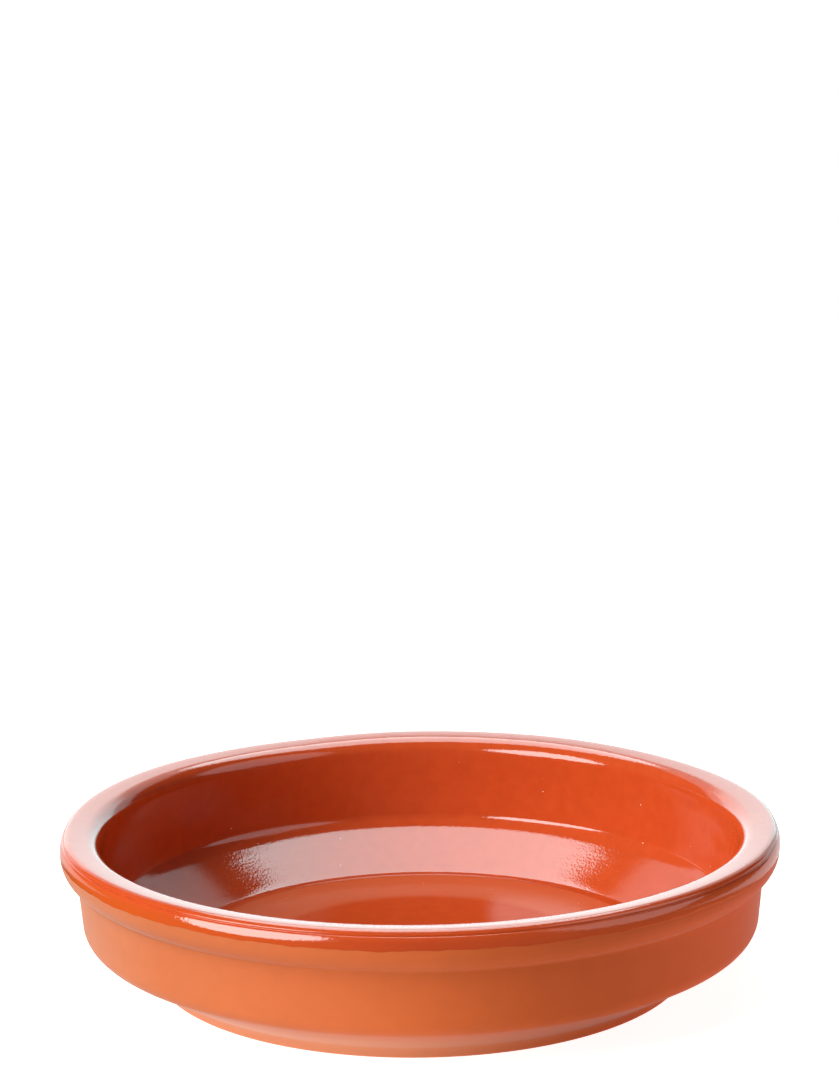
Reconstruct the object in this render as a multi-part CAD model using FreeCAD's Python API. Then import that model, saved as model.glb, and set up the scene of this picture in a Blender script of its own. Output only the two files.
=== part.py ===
import FreeCAD
import Part
import math
import os

# Round terracotta serving dish, one fired clay piece with a rolled rim.
# Millimetres, +Z up, origin on the table at the middle of the base.

# Sizes that drive the dish
rim_diameter = 145.0
overall_height = 30.5
wall_thickness = 5.1
floor_thickness = 3.1
base_diameter = 107.4

# Rolled rim
roll_overhang = 3.25
roll_height = 6.15
roll_under_slope = 39.0
shoulder_fall = 2.5
shoulder_step = 1.05
shoulder_bevel = 0.57
top_fall_slope = 6.5

# Wall and body
wall_lean = 5.0
inside_lean = 3.0
under_slope = 30.0
inside_slope = 35.7
base_side_height = 2.1
base_side_step = 0.7
inside_slope_inset = 3.4

# Channel round the level middle of the floor
channel_depth = 0.6
channel_width = 3.5

# Fine groove round the outer shoulder of the rim, just under its bevel
groove_width = 0.56
groove_depth = 0.17

# Roundings, tied to the sizes that they must fit
roll_under_radius = 0.75 * roll_height
lip_radius = 0.66 * wall_thickness
belly_radius = 0.76 * wall_thickness
well_radius = 0.8 * wall_thickness


def tan(angle):
    return math.tan(math.radians(angle))


def point(r, z):
    return FreeCAD.Vector(r, 0.0, z)


def line_crossing(a, da, b, db):
    # Where the line through a along da meets the line through b along db.
    det = da.x * db.z - da.z * db.x
    t = ((b.x - a.x) * db.z - (b.z - a.z) * db.x) / det
    return a + da * t


def corner_arc(before, corner, after, radius):
    # Start, middle and end of the arc that rounds a corner.
    u = (before - corner).normalize()
    v = (after - corner).normalize()
    half = u.getAngle(v) / 2.0
    inward = (u + v).normalize()
    centre = corner + inward * (radius / math.sin(half))
    run = radius / math.tan(half)
    return corner + u * run, centre - inward * radius, corner + v * run


def rounded_outline(corners):
    # Closed outline: straight runs, joined by a tangent arc at each rounded corner.
    edges = []
    spans = []
    count = len(corners)
    for i in range(count):
        corner, radius = corners[i]
        if radius == 0.0:
            spans.append((corner, corner))
            continue
        before = corners[i - 1][0]
        after = corners[(i + 1) % count][0]
        start, middle, end = corner_arc(before, corner, after, radius)
        edges.append(Part.Arc(start, middle, end).toShape())
        spans.append((start, end))
    for i in range(count):
        edges.append(Part.makeLine(spans[i][1], spans[(i + 1) % count][0]))
    return Part.Wire(Part.sortEdges(edges)[0])


rim_radius = rim_diameter / 2.0
base_radius = base_diameter / 2.0

# Shoulder of the rim, its bevel set so that the crest is the full height
top_along = point(1.0, tan(top_fall_slope)).normalize()
shoulder_along = point(-shoulder_step, shoulder_fall).normalize()
crest = point(rim_radius - shoulder_step, overall_height) - point(shoulder_bevel * top_along.x, 0.0)
shoulder_high = crest + top_along * shoulder_bevel
shoulder_low = shoulder_high - point(-shoulder_step, shoulder_fall)
bevel_low = shoulder_high - shoulder_along * shoulder_bevel

# The groove is a small notch below the bevel
shoulder_inward = point(-shoulder_along.z, shoulder_along.x)
groove_low = bevel_low - shoulder_along * groove_width
groove_bottom = bevel_low - shoulder_along * (0.5 * groove_width) + shoulder_inward * groove_depth

# Outer wall, leaning outward going up, from the body to the underside of the roll
roll_under = point(rim_radius, overall_height - roll_height)
wall_top = roll_under - point(roll_overhang, roll_overhang * tan(roll_under_slope))
wall_along = point(tan(wall_lean), 1.0)

# Underside of the body, rising outward from the top of the base side
base_top = point(base_radius + base_side_step, base_side_height)
belly = line_crossing(base_top, point(1.0, tan(under_slope)), wall_top, wall_along)

# Inside wall, a little steeper than the outer wall, from the lip to the corner of the well
inner_wall = wall_top - point(wall_thickness, 0.0)
inside_along = point(tan(inside_lean), 1.0)
lip = line_crossing(inner_wall, inside_along, crest, top_along)
slope_foot = point(base_top.x - inside_slope_inset, floor_thickness - channel_depth)
well = line_crossing(slope_foot, point(1.0, tan(inside_slope)), inner_wall, inside_along)
middle_edge = point(slope_foot.x - channel_width, floor_thickness)

section = Part.Face(rounded_outline([
    (point(0.0, 0.0), 0.0),
    (point(base_radius, 0.0), 0.0),
    (base_top, 0.0),
    (belly, belly_radius),
    (wall_top, 0.0),
    (roll_under, roll_under_radius),
    (shoulder_low, 0.0),
    (groove_low, 0.0),
    (groove_bottom, 0.0),
    (bevel_low, 0.0),
    (crest, 0.0),
    (lip, lip_radius),
    (well, well_radius),
    (slope_foot, 0.0),
    (middle_edge, 0.0),
    (point(0.0, floor_thickness), 0.0),
]))

turned = section.revolve(FreeCAD.Vector(0, 0, 0), FreeCAD.Vector(0, 0, 1), 360.0)
dish = turned.Solids[0]

print("solid valid", dish.isValid(), "volume cm3", round(dish.Volume / 1000.0, 2))
print("lip radius", round(lip.x, 2), "belly", round(belly.x, 2), round(belly.z, 2))
print("well", round(well.x, 2), round(well.z, 2), "slope foot", round(slope_foot.x, 2))

os.makedirs("parts", exist_ok=True)
dish.exportStep("parts/dish.step")
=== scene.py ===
import math

import bpy
import numpy as np
from mathutils import Matrix, Vector


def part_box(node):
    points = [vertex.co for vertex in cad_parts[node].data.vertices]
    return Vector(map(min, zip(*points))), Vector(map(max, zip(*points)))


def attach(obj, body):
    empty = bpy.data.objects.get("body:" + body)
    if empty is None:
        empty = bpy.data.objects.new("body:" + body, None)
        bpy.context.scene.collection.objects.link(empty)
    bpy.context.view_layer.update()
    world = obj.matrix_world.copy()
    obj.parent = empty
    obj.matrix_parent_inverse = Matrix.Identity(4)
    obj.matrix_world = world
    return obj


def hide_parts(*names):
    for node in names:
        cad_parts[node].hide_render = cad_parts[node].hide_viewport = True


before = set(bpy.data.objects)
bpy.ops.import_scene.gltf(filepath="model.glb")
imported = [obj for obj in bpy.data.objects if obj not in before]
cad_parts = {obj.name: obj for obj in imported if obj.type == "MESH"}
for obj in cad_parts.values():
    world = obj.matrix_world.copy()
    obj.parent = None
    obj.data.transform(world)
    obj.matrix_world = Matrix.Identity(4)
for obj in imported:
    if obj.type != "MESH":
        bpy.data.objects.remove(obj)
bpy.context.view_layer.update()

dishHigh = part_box("dish")[1]
print("stage 1: frame loaded")

# Section of the dish in millimetres and degrees, as it was turned, and how fine the mesh is
dish = {
    "height": 30.3,  # without the lift of the rim's wander
    "wall": 5.1,
    "floor": 3.1,
    "baseRadius": 53.9,
    "rollOverhang": 3.25,
    "rollHeight": 6.2,
    "rollUnderSlope": 34.0,
    "rollOuterRounding": 4.65,
    "rollUnderRounding": 4.588,
    "coveRounding": 0.8125,
    "shoulderFall": 2.5,
    "shoulderStep": 1.05,
    "shoulderRounding": 1.375,
    "topFallSlope": 6.5,
    "lipRounding": 3.4,
    "wallLean": 5.0,
    "insideLean": 3.0,
    "underSlope": 30.0,
    "bellyRounding": 3.87,
    "baseSideHeight": 2.1,
    "baseSideStep": 0.7,
    "baseCoveRounding": 3.36,
    "baseEdgeRounding": 0.42,
    "insideSlope": 35.5,
    "insideSlopeInset": 3.4,
    # the corner of the well is cut by one steeper run through a point
    "wellAt": (62.6, 10.9),
    "wellSlope": 48.0,
    "wellLowRounding": 7.0,
    "wellHighRounding": 2.5,
    "channelDepth": 0.6,
    "channelWidth": 3.5,
    "channelRounding": 1.4,
    "middleRounding": 1.05,
    "grooveHeight": 29.35,
    "grooveWidth": 0.20,
    "grooveDepth": 0.16,
    # lower edge of the glaze on the roll: its height, its wander as (waves round the dish, size),
    # how far along the section the wander reaches, and how the bare clay sets back below it
    "glazeEdgeHeight": 26.9,
    "glazeEdgeWaves": [(9, 0.05), (17, 0.05), (31, 0.05), (53, 0.05), (89, 0.04), (140, 0.03)],
    "glazeEdgeSeed": 5,
    "glazeEdgeReach": 0.8,
    "glazeThickness": 0.07,
    "glazeStep": 0.10,
    "glazeFade": (1.0, 9.0),
    # the mesh: points round the dish, spacing of the rows, wider near the middle, closer at the
    # glaze edge, and the turn of the surface from one row to the next
    "around": 600,
    "sectionSamples": 9000,
    "rowSpacing": 2.6,
    "rowTurn": 8.0,
    "turnSmoothing": 9,
    "middleRadius": 44,
    "middleSpacing": 3.0,
    "edgeSpacing": 0.12,
    "edgeReach": 0.7,
    # handmade wander of the rim: azimuth from the back (right is plus), lift and spread (mm),
    # and the heights between which it sets in, outside a radius
    "rimWander": [
        (-180, 0.00, -0.01), (-115, 0.00, 0.22), (-90, 0.05, -0.08), (-68, 0.16, 0.12),
        (-52, 0.18, 0.10), (-38, 0.00, 0.00), (-21, -0.16, -0.05), (-6, 0.16, 0.00),
        (8, 0.18, 0.00), (24, 0.16, 0.00), (34, 0.04, 0.00), (42, -0.10, -0.05),
        (52, -0.20, -0.10), (62, -0.20, -0.12), (80, -0.05, 0.00), (100, 0.00, 0.00),
        (118, 0.00, 0.20), (150, 0.00, 0.00), (180, 0.00, -0.01),
    ],
    "wanderSmoothing": 12,
    "wanderHeights": (8, 24),
    "wanderBeyond": 60,
}


def tangent(angle):
    return math.tan(math.radians(angle))


def at(r, z):
    return np.array([r, z], float)


def unit(vector):
    return vector / np.linalg.norm(vector)


def smoothStep(values, low, high):
    t = np.clip((values - low) / (high - low), 0, 1)
    return t * t * (3 - 2 * t)


def lineCrossing(a, alongA, b, alongB):
    det = alongA[0] * alongB[1] - alongB[0] * alongA[1]
    t = ((b[0] - a[0]) * alongB[1] - (b[1] - a[1]) * alongB[0]) / det
    return a + alongA * t


def roundedRun(corners, stepAngle=1.0, fewestSteps=8):
    # straight runs, with a tangent arc at each rounded corner, in steps of about that many degrees
    points = [corners[0][0]]
    for i in range(1, len(corners) - 1):
        corner, radius = corners[i]
        u = unit(corners[i - 1][0] - corner)
        v = unit(corners[i + 1][0] - corner)
        half = math.acos(float(np.clip(u @ v, -1, 1))) / 2
        centre = corner + unit(u + v) * (radius / math.sin(half))
        start = corner + u * (radius / math.tan(half)) - centre
        end = corner + v * (radius / math.tan(half)) - centre
        turn = math.atan2(start[0] * end[1] - start[1] * end[0], start @ end)
        steps = max(fewestSteps, int(abs(turn) / math.radians(stepAngle)))
        for k in range(steps + 1):
            a = turn * k / steps
            points.append(centre + at(
                start[0] * math.cos(a) - start[1] * math.sin(a),
                start[0] * math.sin(a) + start[1] * math.cos(a)))
    points.append(corners[-1][0])
    return np.array(points)


def dishSection(d, rimRadius):
    # from the middle of the inside floor, over the rim, to the middle of the underside
    topAlong = unit(at(1.0, tangent(d["topFallSlope"])))
    high = at(rimRadius - d["shoulderStep"], 0)
    low = at(rimRadius, -d["shoulderFall"])
    sideAlong = unit(low - high)
    half = math.acos(float(-topAlong @ sideAlong)) / 2
    centre = high + unit(sideAlong - topAlong) * (d["shoulderRounding"] / math.sin(half))
    lift = at(0, d["height"] - d["shoulderRounding"] - centre[1])
    high, low = high + lift, low + lift
    rollUnder = at(rimRadius, d["height"] - d["rollHeight"])
    wallTop = rollUnder - at(d["rollOverhang"], d["rollOverhang"] * tangent(d["rollUnderSlope"]))
    wallAlong = at(tangent(d["wallLean"]), 1.0)
    baseTop = at(d["baseRadius"] + d["baseSideStep"], d["baseSideHeight"])
    belly = lineCrossing(baseTop, at(1.0, tangent(d["underSlope"])), wallTop, wallAlong)
    innerWall = wallTop - at(d["wall"], 0)
    insideAlong = at(tangent(d["insideLean"]), 1.0)
    lip = lineCrossing(innerWall, insideAlong, high, topAlong)
    slopeFoot = at(baseTop[0] - d["insideSlopeInset"], d["floor"] - d["channelDepth"])
    wellAt = np.array(d["wellAt"])
    wellAlong = at(1.0, tangent(d["wellSlope"]))
    wellLow = lineCrossing(slopeFoot, at(1.0, tangent(d["insideSlope"])), wellAt, wellAlong)
    wellHigh = lineCrossing(wellAt, wellAlong, innerWall, insideAlong)
    middleEdge = at(slopeFoot[0] - d["channelWidth"], d["floor"])
    return roundedRun([
        (at(0, d["floor"]), 0),
        (middleEdge, d["middleRounding"]),
        (slopeFoot, d["channelRounding"]),
        (wellLow, d["wellLowRounding"]),
        (wellHigh, d["wellHighRounding"]),
        (lip, d["lipRounding"]),
        (high, d["shoulderRounding"]),
        (low, d["rollOuterRounding"]),
        (rollUnder, d["rollUnderRounding"]),
        (wallTop, d["coveRounding"]),
        (belly, d["bellyRounding"]),
        (baseTop, d["baseCoveRounding"]),
        (at(d["baseRadius"], 0), d["baseEdgeRounding"]),
        (at(0, 0), 0),
    ])


def sectionNormals(s, r, z):
    tr, tz = np.gradient(r, s), np.gradient(z, s)
    size = np.hypot(tr, tz)
    return -tz / size, tr / size


def fineSection(d):
    # the section in even steps s along it, with the groove, and where the glaze ends
    line = dishSection(d, dishHigh.x * 1000)
    along = np.concatenate([[0.0], np.cumsum(np.hypot(*np.diff(line, axis=0).T))])
    s = np.linspace(0.0, along[-1], d["sectionSamples"])
    r, z = np.interp(s, along, line[:, 0]), np.interp(s, along, line[:, 1])
    nr, nz = sectionNormals(s, r, z)
    outside = s > s[np.argmax(z)]
    grooveS, edgeS = [s[np.argmin(np.where(outside, np.abs(z - height), np.inf))]
                      for height in (d["grooveHeight"], d["glazeEdgeHeight"])]
    dent = d["grooveDepth"] * np.exp(-((s - grooveS) / d["grooveWidth"]) ** 2)
    return s, r - nr * dent, z - nz * dent, edgeS


def rowPlaces(d, s, r, z, edgeS):
    # rows lie closer where the surface turns and at the glaze edge, which one row follows
    nr, nz = sectionNormals(s, r, z)
    turn = np.degrees(np.hypot(np.gradient(nr, s), np.gradient(nz, s)))
    turn = np.convolve(turn, np.full(d["turnSmoothing"], 1 / d["turnSmoothing"]), "same")
    spacing = d["rowSpacing"] * np.where(r < d["middleRadius"], d["middleSpacing"], 1.0)
    near = np.exp(-((s - edgeS) / d["edgeReach"]) ** 2)
    density = 1 / spacing + turn / d["rowTurn"] + near / d["edgeSpacing"]
    total = np.concatenate([[0.0], np.cumsum(0.5 * (density[1:] + density[:-1]) * np.diff(s))])
    count = int(round(total[-1]))
    places = np.interp(np.linspace(0, total[-1], count + 1), total, s)
    edgeRow = int(np.argmin(np.abs(places - edgeS)))
    places[edgeRow] = edgeS
    return places, edgeRow


def glazeEdgeWander(d, theta):
    # a smooth closed wandering line, made of a few seeded waves
    rng = np.random.default_rng(d["glazeEdgeSeed"])
    total = np.zeros_like(theta)
    for count, size in d["glazeEdgeWaves"]:
        total += size * np.sin(count * theta + rng.uniform(0, 2 * math.pi))
    return total


def rimWander(d, theta):
    azimuth, lift, spread = np.array(d["rimWander"]).T
    around = (90 - np.degrees(theta) + 180) % 360 - 180
    n = d["wanderSmoothing"]
    weights = np.exp(-np.linspace(-2, 2, 2 * n + 1) ** 2)
    weights /= weights.sum()
    smooth = []
    for values in (lift, spread):
        line = np.interp(around, azimuth, values)
        smooth.append(np.convolve(np.concatenate([line[-n:], line, line[:n]]), weights, "valid"))
    return smooth


def turnedMesh(d):
    s, r, z, edgeS = fineSection(d)
    places, edgeRow = rowPlaces(d, s, r, z, edgeS)
    n = d["around"]
    theta = np.arange(n) * 2 * math.pi / n
    rows = places[1:-1]
    grip = np.exp(-((rows - edgeS) / d["glazeEdgeReach"]) ** 2)
    sGrid = rows[:, None] + grip[:, None] * glazeEdgeWander(d, theta)[None, :]
    rGrid, zGrid = np.interp(sGrid, s, r), np.interp(sGrid, s, z)
    nrGrid, nzGrid = [np.interp(sGrid, s, values) for values in sectionNormals(s, r, z)]
    # bare clay sets back by the thickness of the glaze, less and less down the wall
    fadeEnd, fadeStart = edgeS + d["glazeFade"][1], edgeS + d["glazeFade"][0]
    fade = np.clip((fadeEnd - rows) / (fadeEnd - fadeStart), 0, 1)
    back = d["glazeThickness"] * smoothStep(rows, edgeS, edgeS + d["glazeStep"]) * fade
    rGrid = rGrid - nrGrid * back[:, None]
    zGrid = zGrid - nzGrid * back[:, None]
    lift, spread = rimWander(d, theta)
    upper = smoothStep(zGrid, *d["wanderHeights"]) * (rGrid > d["wanderBeyond"])
    zGrid = zGrid + lift * upper
    rGrid = rGrid + spread * upper
    verts = np.stack([rGrid * np.cos(theta), rGrid * np.sin(theta), zGrid], -1).reshape(-1, 3)
    verts = np.vstack([verts, [[0, 0, z[0]], [0, 0, z[-1]]]]) / 1000
    # rows of quads, closed by a fan in the middle of the floor and of the underside
    m = len(rows)
    j = np.arange(n)
    k = (j + 1) % n
    quads = np.vstack([np.stack([i * n + j, (i + 1) * n + j, (i + 1) * n + k, i * n + k], -1)
                       for i in range(m - 1)])
    first = np.stack([np.full(n, m * n), j, k], -1)
    last = np.stack([np.full(n, m * n + 1), (m - 1) * n + k, (m - 1) * n + j], -1)
    mesh = bpy.data.meshes.new("turnedDish")
    mesh.from_pydata(verts.tolist(), [], quads.tolist() + first.tolist() + last.tolist())
    mesh.polygons.foreach_set("use_smooth", [True] * len(mesh.polygons))
    # glaze first, clay from the glaze edge on and on the fan of the underside
    finish = np.zeros(len(mesh.polygons), int)
    finish[(edgeRow - 1) * n:(m - 1) * n] = 1
    finish[-n:] = 1
    mesh.polygons.foreach_set("material_index", finish)
    mesh.update()
    print("rows", m, "triangles", 2 * len(quads) + 2 * n)
    return mesh


def newMaterial(name):
    material = bpy.data.materials.new(name)
    material.use_nodes = True
    material.node_tree.nodes.clear()
    return material, material.node_tree.nodes, material.node_tree.links


def addNode(nodes, kind, **values):
    node = nodes.new(kind)
    for key, value in values.items():
        if key in node.inputs:
            node.inputs[key].default_value = value
        else:
            setattr(node, key, value)
    return node


def addRange(nodes, start, end, low=0.0, high=1.0, smooth=True):
    node = addNode(nodes, "ShaderNodeMapRange", interpolation_type="SMOOTHSTEP" if smooth else "LINEAR")
    for name, value in (("From Min", start), ("From Max", end), ("To Min", low), ("To Max", high)):
        node.inputs[name].default_value = value
    return node


def addRamp(nodes, stops):
    node = nodes.new("ShaderNodeValToRGB")
    elements = node.color_ramp.elements
    for k, (position, colour) in enumerate(stops):
        element = elements[k] if k < 2 else elements.new(position)
        element.position, element.color = position, colour
    return node


# the colour sockets of a mix node share their names, so they are known by their places
mixUnder, mixOver, mixResult = 6, 7, 2


def addMixed(nodes, colour=(0, 0, 0, 1)):
    # mixes the given colour, or what is linked there, over the colour under it
    node = addNode(nodes, "ShaderNodeMix", data_type="RGBA")
    node.inputs[mixOver].default_value = colour
    return node


def addMath(nodes, operation, value=0.5):
    node = addNode(nodes, "ShaderNodeMath", operation=operation)
    node.inputs[1].default_value = value
    return node


def linkAll(links, pairs):
    for source, target in pairs:
        links.new(source, target)


# Colours of the glaze, and the marks in it, in metres or in repeats per metre
glaze = {
    "cloudSize": 320,
    "cloudDetail": 6.0,
    "cloudRoughness": 0.6,
    "cloud": [(0.35, (0.475, 0.060, 0.013, 1)), (0.70, (0.515, 0.068, 0.015, 1))],
    "roughness": 0.055,
    "ior": 1.55,
    # repeats, detail and depth of the unevenness, from broad to fine
    "wave": (150, 1.0, 0.000020),
    "turningLine": (1100, 1.0, 0.000010),
    "ripple": (1900, 2.0, 0.000024),
    # pinholes: colour, cells per metre, radius as a part of a cell, share of the cells with one
    "speck": (0.86, 0.62, 0.50, 1),
    "speckSize": 330,
    "speckRadius": 0.042,
    "speckShare": 0.25,
    # painted reflection: the paler ring stands in for a light band mirrored in the floor of the dish,
    # not a paler glaze
    # a paler ring on the floor between these radii (m), for the light band that the photo shows
    "paintedReflectionRing": (0.55, 0.114, 0.044, 1),
    "paintedReflectionShare": 0.9,
    "paintedReflectionInside": (0.0308, 0.0342),
    "paintedReflectionOutside": (0.0485, 0.0468),
    # painted light and shade: the glaze on the roll is made more orange on the left and brighter on the
    # right, after how the light falls
    # on the outer face of the roll the tone changes from left to right, as in the photo: over
    # a width, outside a radius and below a height (m)
    "outer": [
        (0.0, (0.43, 0.072, 0.006, 1)),
        (0.5, (0.42, 0.051, 0.013, 1)),
        (0.8, (0.58, 0.086, 0.022, 1)),
    ],
    "outerWidth": 0.16,
    "outerShare": 0.85,
    "outerBeyond": (0.0670, 0.0685),
    "outerBelow": (0.0292, 0.0282),
}


def glazeMaterial(g):
    material, nodes, links = newMaterial("redGlaze")
    out = nodes.new("ShaderNodeOutputMaterial")
    shader = addNode(nodes, "ShaderNodeBsdfPrincipled", Roughness=g["roughness"], IOR=g["ior"])
    place = nodes.new("ShaderNodeTexCoord").outputs["Object"]
    axes = nodes.new("ShaderNodeSeparateXYZ")
    flat = addNode(nodes, "ShaderNodeVectorMath", operation="MULTIPLY")
    flat.inputs[1].default_value = (1, 1, 0)
    away = addNode(nodes, "ShaderNodeVectorMath", operation="LENGTH")
    cloud = addNode(nodes, "ShaderNodeTexNoise", Scale=g["cloudSize"], Detail=g["cloudDetail"],
                    Roughness=g["cloudRoughness"])
    tone = addRamp(nodes, g["cloud"])
    # painted reflection and painted light that belong to a place: each is mixed in by the product of
    # two soft edges
    paintedReflectionMix = addMixed(nodes, g["paintedReflectionRing"])
    outer = addMixed(nodes)
    # painted light and shade on the roll, from left to right
    across = addRange(nodes, -0.5 * g["outerWidth"], 0.5 * g["outerWidth"], smooth=False)
    outerTone = addRamp(nodes, g["outer"])
    radius, height = away.outputs["Value"], axes.outputs["Z"]
    for mix, share, first, second, secondPlace in (
            (paintedReflectionMix, g["paintedReflectionShare"], g["paintedReflectionInside"], g["paintedReflectionOutside"], radius),
            (outer, g["outerShare"], g["outerBeyond"], g["outerBelow"], height)):
        firstEdge, secondEdge = addRange(nodes, *first, high=share), addRange(nodes, *second)
        part = addMath(nodes, "MULTIPLY")
        linkAll(links, (
            (radius, firstEdge.inputs["Value"]),
            (secondPlace, secondEdge.inputs["Value"]),
            (firstEdge.outputs["Result"], part.inputs[0]),
            (secondEdge.outputs["Result"], part.inputs[1]),
            (part.outputs[0], mix.inputs[0]),
        ))
    # tiny pale pinholes, one in some of the cells
    cells = addNode(nodes, "ShaderNodeTexVoronoi", Scale=g["speckSize"])
    small = addMath(nodes, "LESS_THAN", g["speckRadius"])
    cellParts = nodes.new("ShaderNodeSeparateColor")
    chosen = addMath(nodes, "LESS_THAN", g["speckShare"])
    dot = addMath(nodes, "MULTIPLY")
    speckled = addMixed(nodes, g["speck"])
    linkAll(links, (
        (place, flat.inputs[0]),
        (place, axes.inputs["Vector"]),
        (place, cloud.inputs["Vector"]),
        (place, cells.inputs["Vector"]),
        (flat.outputs["Vector"], away.inputs[0]),
        (cloud.outputs["Fac"], tone.inputs["Fac"]),
        (axes.outputs["X"], across.inputs["Value"]),
        (across.outputs["Result"], outerTone.inputs["Fac"]),
        (tone.outputs["Color"], paintedReflectionMix.inputs[mixUnder]),
        (paintedReflectionMix.outputs[mixResult], outer.inputs[mixUnder]),
        (outerTone.outputs["Color"], outer.inputs[mixOver]),
        (outer.outputs[mixResult], speckled.inputs[mixUnder]),
        (cells.outputs["Distance"], small.inputs[0]),
        (cells.outputs["Color"], cellParts.inputs["Color"]),
        (cellParts.outputs["Red"], chosen.inputs[0]),
        (small.outputs[0], dot.inputs[0]),
        (chosen.outputs[0], dot.inputs[1]),
        (dot.outputs[0], speckled.inputs[0]),
        (speckled.outputs[mixResult], shader.inputs["Base Color"]),
        (shader.outputs["BSDF"], out.inputs["Surface"]),
    ))
    # fine lines left by turning run round the dish, so their pattern reads radius and height
    lineAt = nodes.new("ShaderNodeCombineXYZ")
    linkAll(links, ((radius, lineAt.inputs["X"]), (height, lineAt.inputs["Y"])))
    target = shader.inputs["Normal"]
    for name, where in (("ripple", place), ("turningLine", lineAt.outputs["Vector"]), ("wave", place)):
        repeats, detail, depth = g[name]
        pattern = addNode(nodes, "ShaderNodeTexNoise", Scale=repeats, Detail=detail)
        bump = addNode(nodes, "ShaderNodeBump", Strength=1.0, Distance=depth)
        linkAll(links, (
            (where, pattern.inputs["Vector"]),
            (pattern.outputs["Fac"], bump.inputs["Height"]),
            (bump.outputs["Normal"], target),
        ))
        target = bump.inputs["Normal"]
    return material


clay = {
    # painted light and shade: the clay is paler on the lit left, palest at the far left edge as a
    # painted sheen, and a deeper red on the right
    # the tone drifts from left to right over a width (m), to follow the photo
    "paintedLightDrift": [
        (0.05, (0.42, 0.155, 0.080, 1)),
        (0.20, (0.42, 0.110, 0.036, 1)),
        (0.50, (0.54, 0.108, 0.025, 1)),
        (1.00, (0.58, 0.066, 0.008, 1)),
    ],
    "paintedLightDriftWidth": 0.16,
    # painted light: the paler foot on the left stands in for light sent up from the table
    # the foot is paler on the left, also as in the photo: below these heights (m), and between
    # these shares of the width
    "foot": (0.54, 0.185, 0.088, 1),
    "footHeights": (0.0095, 0.0035),
    "footAcross": (0.75, 0.40),
    "cloudSize": 260,
    "cloudDetail": 8.0,
    "cloudRoughness": 0.65,
    "cloudRange": (0.30, 0.70),
    "cloudDarkest": 0.94,
    "roughness": 0.60,
    "ior": 1.45,
    "specular": 0.12,
    "sheen": 0.18,
    "sheenRoughness": 0.30,
    "grainSize": 4200,
    "grainDetail": 3.0,
    "grainDepth": 0.000012,
}


def clayMaterial(c):
    material, nodes, links = newMaterial("satinClay")
    out = nodes.new("ShaderNodeOutputMaterial")
    shader = addNode(nodes, "ShaderNodeBsdfPrincipled", Roughness=c["roughness"], IOR=c["ior"])
    shader.inputs["Specular IOR Level"].default_value = c["specular"]
    shader.inputs["Sheen Weight"].default_value = c["sheen"]
    shader.inputs["Sheen Roughness"].default_value = c["sheenRoughness"]
    place = nodes.new("ShaderNodeTexCoord").outputs["Object"]
    axes = nodes.new("ShaderNodeSeparateXYZ")
    # painted light and shade: the clay's tone from left to right
    across = addRange(nodes, -0.5 * c["paintedLightDriftWidth"], 0.5 * c["paintedLightDriftWidth"], smooth=False)
    paintedLightDrift = addRamp(nodes, c["paintedLightDrift"])
    # painted light: the paler foot on the left, below these heights
    low = addRange(nodes, *c["footHeights"])
    side = addRange(nodes, *c["footAcross"])
    lowSide = addMath(nodes, "MULTIPLY")
    foot = addMixed(nodes, c["foot"])
    cloud = addNode(nodes, "ShaderNodeTexNoise", Scale=c["cloudSize"], Detail=c["cloudDetail"],
                    Roughness=c["cloudRoughness"])
    shade = addRange(nodes, *c["cloudRange"], low=c["cloudDarkest"], smooth=False)
    tone = addNode(nodes, "ShaderNodeVectorMath", operation="SCALE")
    grain = addNode(nodes, "ShaderNodeTexNoise", Scale=c["grainSize"], Detail=c["grainDetail"])
    bump = addNode(nodes, "ShaderNodeBump", Strength=1.0, Distance=c["grainDepth"])
    linkAll(links, (
        (place, axes.inputs["Vector"]),
        (place, cloud.inputs["Vector"]),
        (place, grain.inputs["Vector"]),
        (axes.outputs["X"], across.inputs["Value"]),
        (across.outputs["Result"], paintedLightDrift.inputs["Fac"]),
        (across.outputs["Result"], side.inputs["Value"]),
        (axes.outputs["Z"], low.inputs["Value"]),
        (low.outputs["Result"], lowSide.inputs[0]),
        (side.outputs["Result"], lowSide.inputs[1]),
        (lowSide.outputs[0], foot.inputs[0]),
        (paintedLightDrift.outputs["Color"], foot.inputs[mixUnder]),
        (foot.outputs[mixResult], tone.inputs[0]),
        (cloud.outputs["Fac"], shade.inputs["Value"]),
        (shade.outputs["Result"], tone.inputs["Scale"]),
        (tone.outputs["Vector"], shader.inputs["Base Color"]),
        (grain.outputs["Fac"], bump.inputs["Height"]),
        (bump.outputs["Normal"], shader.inputs["Normal"]),
        (shader.outputs["BSDF"], out.inputs["Surface"]),
    ))
    return material


dishMesh = turnedMesh(dish)
dishMesh.materials.append(glazeMaterial(glaze))
dishMesh.materials.append(clayMaterial(clay))
dishPiece = bpy.data.objects.new("turnedDish", dishMesh)
bpy.context.scene.collection.objects.link(dishPiece)
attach(dishPiece, "root")
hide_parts("dish")
print("stage 2: dish built")

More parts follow.
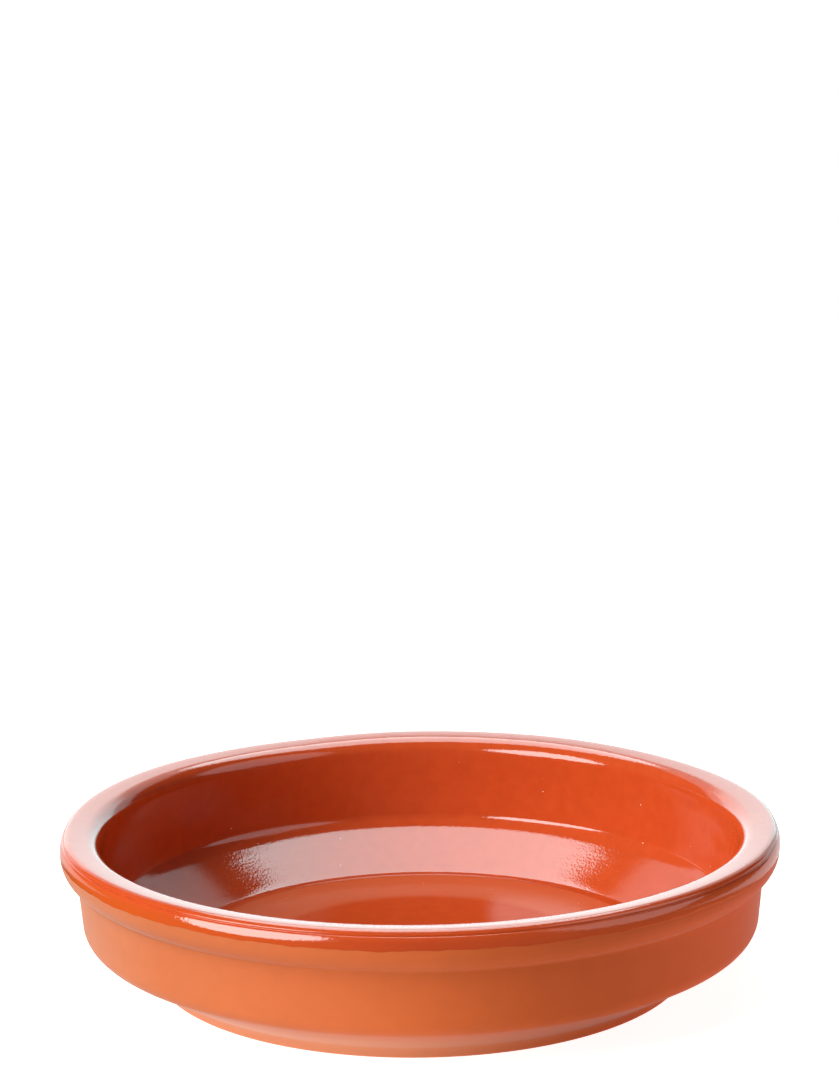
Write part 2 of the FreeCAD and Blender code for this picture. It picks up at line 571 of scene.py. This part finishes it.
# The white table and background, what the glaze mirrors instead of them, and the lamps (m)
studio = {
    "circleSteps": 96,
    "floorRadius": 1.2,
    "floorColour": (0.60, 0.60, 0.60, 1),
    "floorGlow": 0.90,
    # what the table sends up to the dish, from left to right (m, strength), the half width that
    # this covers, and the distances from the middle between which it fades
    "floorBounce": [(-0.02, 1.55), (0.036, 0.60), (0.065, 1.2), (0.115, 2.3)],
    "bounceSpan": 0.15,
    "bounceFade": (0.095, 0.20),
    "bounceColour": (0.30, 0.30, 0.30, 1),
    # a dim room round the set
    "roomLevel": 0.05,
    "roomRadius": 2.2,
    "roomHeights": (-0.02, 1.9),
    "roomSteps": 48,
    # a dim cover over the floor, which brightens towards the back and a little to the right,
    # between these distances
    "coverRadius": 1.15,
    "coverHeight": 0.0004,
    "coverLevel": 0.04,
    "openingLevel": 0.95,
    "openingFrom": (0.030, 0.070),
    "openingSlant": 0.2,
    # tint of what the glaze mirrors above and behind the dish, height that the lamps aim at,
    # and how far the mirrored one of each pair of lamps stands ahead
    "coolTint": (0.76, 1.0, 1.03),
    "aimHeight": 0.02,
    "mirroredAhead": 0.01,
    "lamps": [
        # name, azimuth from the back (right is plus), elevation and roll, distance, degrees wide
        # and tall, brightness on the object, brightness mirrored in the glaze
        ("key", -119, 34, 0, 1.20, 48, 50, 10.4, 0.0),
        ("keyCard", -128, 18, 10, 1.20, 48, 35, 0.0, 10.5),
        ("lowFill", 108, 3.2, 0, 0.50, 80, 7, 3.0, 0.0),
        ("fill", 111.5, 30, 0, 0.70, 59, 50, 0.25, 1.4),
    ],
    # height, place to the right and behind the middle, size across and front to back, and the
    # same two brightnesses
    "overhead": (0.90, 0.0, 0.45, 0.90, 1.11, 1.28, 6.0),
    # distance, left and right end, bottom, top, and the same two brightnesses
    "backdrop": [
        (1.10, -0.72, 0.64, 0.02, 0.62, 0.8, 2.4),
        (1.10, 0.64, 1.10, 0.02, 0.62, 0.8, 1.0),
        (1.10, -1.10, -0.72, 0.02, 0.62, 0.8, 1.2),
        (1.12, -1.05, 1.05, 0.62, 1.42, 0.4, 1.1),
    ],
}


def backgroundMix(nodes, links, plain, white):
    # white for camera, mirror and glass rays, the plain level for the rest
    rays = nodes.new("ShaderNodeLightPath")
    either = addMath(nodes, "MAXIMUM")
    seen = addMath(nodes, "MAXIMUM")
    mix = nodes.new("ShaderNodeMixShader")
    linkAll(links, (
        (rays.outputs["Is Glossy Ray"], either.inputs[0]),
        (rays.outputs["Is Transmission Ray"], either.inputs[1]),
        (rays.outputs["Is Camera Ray"], seen.inputs[0]),
        (either.outputs[0], seen.inputs[1]),
        (seen.outputs[0], mix.inputs[0]),
        (plain.outputs[0], mix.inputs[1]),
        (white.outputs[0], mix.inputs[2]),
    ))
    return mix


def buildWorld(st):
    world = bpy.data.worlds.new("whiteRoom")
    bpy.context.scene.world = world
    world.use_nodes = True
    nodes, links = world.node_tree.nodes, world.node_tree.links
    nodes.clear()
    plain = addNode(nodes, "ShaderNodeBackground", Color=(1, 1, 1, 1), Strength=st["roomLevel"])
    white = addNode(nodes, "ShaderNodeBackground", Color=(1, 1, 1, 1), Strength=1.0)
    mix = backgroundMix(nodes, links, plain, white)
    out = nodes.new("ShaderNodeOutputWorld")
    links.new(mix.outputs[0], out.inputs["Surface"])


def circle(radius, height, count):
    angles = [2 * math.pi * k / count for k in range(count)]
    return [(radius * math.cos(a), radius * math.sin(a), height) for a in angles]


def newObject(name, points, faces, material):
    mesh = bpy.data.meshes.new(name)
    mesh.from_pydata(points, [], faces)
    mesh.materials.append(material)
    piece = bpy.data.objects.new(name, mesh)
    bpy.context.scene.collection.objects.link(piece)
    return piece


def buildFloor(st):
    material, nodes, links = newMaterial("whiteFloor")
    place = nodes.new("ShaderNodeTexCoord").outputs["Object"]
    axes = nodes.new("ShaderNodeSeparateXYZ")
    away = addNode(nodes, "ShaderNodeVectorMath", operation="LENGTH")
    span = st["bounceSpan"]
    across = addRange(nodes, -span, span, smooth=False)
    bounce = addRamp(nodes, [(0.5 + 0.5 * x / span, (level, level, level, 1))
                             for x, level in st["floorBounce"]])
    bounce.color_ramp.interpolation = "EASE"
    fade = addRange(nodes, *st["bounceFade"], low=1.0, high=0.0)
    bounceNear = addMath(nodes, "MULTIPLY")
    linkAll(links, (
        (place, axes.inputs["Vector"]),
        (place, away.inputs[0]),
        (axes.outputs["X"], across.inputs["Value"]),
        (across.outputs["Result"], bounce.inputs["Fac"]),
        (away.outputs["Value"], fade.inputs["Value"]),
        (bounce.outputs["Color"], bounceNear.inputs[0]),
        (fade.outputs["Result"], bounceNear.inputs[1]),
    ))
    lit = []
    for colour, strength in ((st["bounceColour"], 0.0), (st["floorColour"], st["floorGlow"])):
        matt = addNode(nodes, "ShaderNodeBsdfDiffuse", Color=colour)
        glow = addNode(nodes, "ShaderNodeEmission", Color=(1, 1, 1, 1), Strength=strength)
        both = nodes.new("ShaderNodeAddShader")
        linkAll(links, ((matt.outputs[0], both.inputs[0]), (glow.outputs[0], both.inputs[1])))
        lit.append((glow, both))
    links.new(bounceNear.outputs[0], lit[0][0].inputs["Strength"])
    mix = backgroundMix(nodes, links, lit[0][1], lit[1][1])
    out = nodes.new("ShaderNodeOutputMaterial")
    links.new(mix.outputs[0], out.inputs["Surface"])
    count = st["circleSteps"]
    floor = newObject("floor", circle(st["floorRadius"], 0, count), [list(range(count))], material)


def glowMaterial(name, strength):
    material, nodes, links = newMaterial(name)
    glow = addNode(nodes, "ShaderNodeEmission", Color=(1, 1, 1, 1), Strength=strength)
    out = nodes.new("ShaderNodeOutputMaterial")
    links.new(glow.outputs[0], out.inputs["Surface"])
    return material, glow


def buildFlags(st):
    # the room is there so that the glaze mirrors the lamps and little else
    count = st["roomSteps"]
    low, high = [circle(st["roomRadius"], height, count) for height in st["roomHeights"]]
    sides = [(k, (k + 1) % count, count + (k + 1) % count, count + k) for k in range(count)]
    material = glowMaterial("dimRoom", st["roomLevel"])[0]
    room = newObject("roomFlag", low + high, sides + [list(range(count, 2 * count))], material)
    room.visible_camera = False
    # the cover does the same below the horizon, and casts no shadow; the outermost edges of the
    # dish mirror its bright part, as they would the white table
    material, glow = glowMaterial("dimFloor", st["coverLevel"])
    nodes, links = material.node_tree.nodes, material.node_tree.links
    place = nodes.new("ShaderNodeTexCoord").outputs["Object"]
    behind = addNode(nodes, "ShaderNodeVectorMath", operation="DOT_PRODUCT")
    behind.inputs[1].default_value = (st["openingSlant"], 1, 0)
    level = addRange(nodes, *st["openingFrom"], low=st["coverLevel"], high=st["openingLevel"])
    linkAll(links, (
        (place, behind.inputs[0]),
        (behind.outputs["Value"], level.inputs["Value"]),
        (level.outputs["Result"], glow.inputs["Strength"]),
    ))
    count = st["circleSteps"]
    points = circle(st["coverRadius"], st["coverHeight"], count)
    cover = newObject("floorFlag", points, [list(range(count))], material)
    cover.visible_camera = False
    cover.visible_diffuse = False
    cover.visible_shadow = False


def areaLamp(name, middle, aim, width, height, brightness, mirrored, ahead,
             shape="RECTANGLE", tint=(1, 1, 1), roll=0):
    # a pair: the first lights the object, the second, just in front, is what the glaze mirrors
    middle, aim = Vector(middle), Vector(aim)
    forward = (aim - middle).normalized()
    area = width * height * (math.pi / 4 if shape == "ELLIPSE" else 1)
    turn = forward.to_track_quat("-Z", "Y").to_matrix() @ Matrix.Rotation(math.radians(roll), 3, "Z")
    for kind, level, offset in (("Light", brightness, 0.0), ("Mirrored", mirrored, ahead)):
        if level == 0:
            continue
        data = bpy.data.lights.new(name + kind, "AREA")
        data.shape = shape
        data.size = width
        data.size_y = height
        data.energy = level * math.pi * area
        if kind == "Mirrored":
            data.color = tint
        lamp = bpy.data.objects.new(name + kind, data)
        lamp.location = middle + forward * offset
        lamp.rotation_euler = turn.to_euler()
        lamp.visible_camera = False
        lamp.visible_glossy = kind == "Mirrored"
        lamp.visible_diffuse = kind == "Light"
        bpy.context.scene.collection.objects.link(lamp)


def buildLamps(st):
    ahead, tint, aimHeight = st["mirroredAhead"], st["coolTint"], st["aimHeight"]
    for name, azimuth, elevation, roll, distance, wide, tall, brightness, mirrored in st["lamps"]:
        a, e = math.radians(azimuth), math.radians(elevation)
        away = distance * math.cos(e)
        middle = (away * math.sin(a), away * math.cos(a), aimHeight + distance * math.sin(e))
        width, height = 2 * away * tangent(wide / 2), 2 * distance * tangent(tall / 2)
        areaLamp(name, middle, (0, 0, aimHeight), width, height, brightness, mirrored, ahead,
                 "ELLIPSE", roll=roll)
    height, right, behind, across, deep, brightness, mirrored = st["overhead"]
    areaLamp("overhead", (right, behind, height), (right, behind, 0), across, deep,
             brightness, mirrored, ahead, "ELLIPSE", tint)
    for k, (distance, left, right, bottom, top, brightness, mirrored) in enumerate(st["backdrop"]):
        x, z = 0.5 * (left + right), 0.5 * (bottom + top)
        areaLamp("backdrop" + str(k), (x, distance, z), (x, 0, z), right - left, top - bottom,
                 brightness, mirrored, ahead, tint=tint)


# The camera that was fitted to the outlines in the photo
view = {
    "lens": 82.038,
    "sensor": 36.0,
    "clip": (0.01, 50.0),
    "place": (0.0, -0.4831038633, 0.16923101102),
    "right": (0.99991375, -0.00355882, -0.01264226),
    "down": (-0.01305939, -0.16722015, -0.98583309),
    "ahead": (0.00139437, 0.98591316, -0.16725221),
}


def buildCamera(v):
    data = bpy.data.cameras.new("camera")
    data.sensor_width = v["sensor"]
    data.lens = v["lens"]
    data.clip_start, data.clip_end = v["clip"]
    camera = bpy.data.objects.new("camera", data)
    turn = Matrix((Vector(v["right"]), -Vector(v["down"]), -Vector(v["ahead"]))).transposed()
    camera.matrix_world = Matrix.Translation(Vector(v["place"])) @ turn.to_4x4()
    bpy.context.scene.collection.objects.link(camera)
    bpy.context.scene.camera = camera


buildWorld(studio)
buildFloor(studio)
buildFlags(studio)
buildLamps(studio)
buildCamera(view)
bpy.context.scene.view_settings.view_transform = "Standard"
print("stage 3: studio set")

print("stage 4: done")
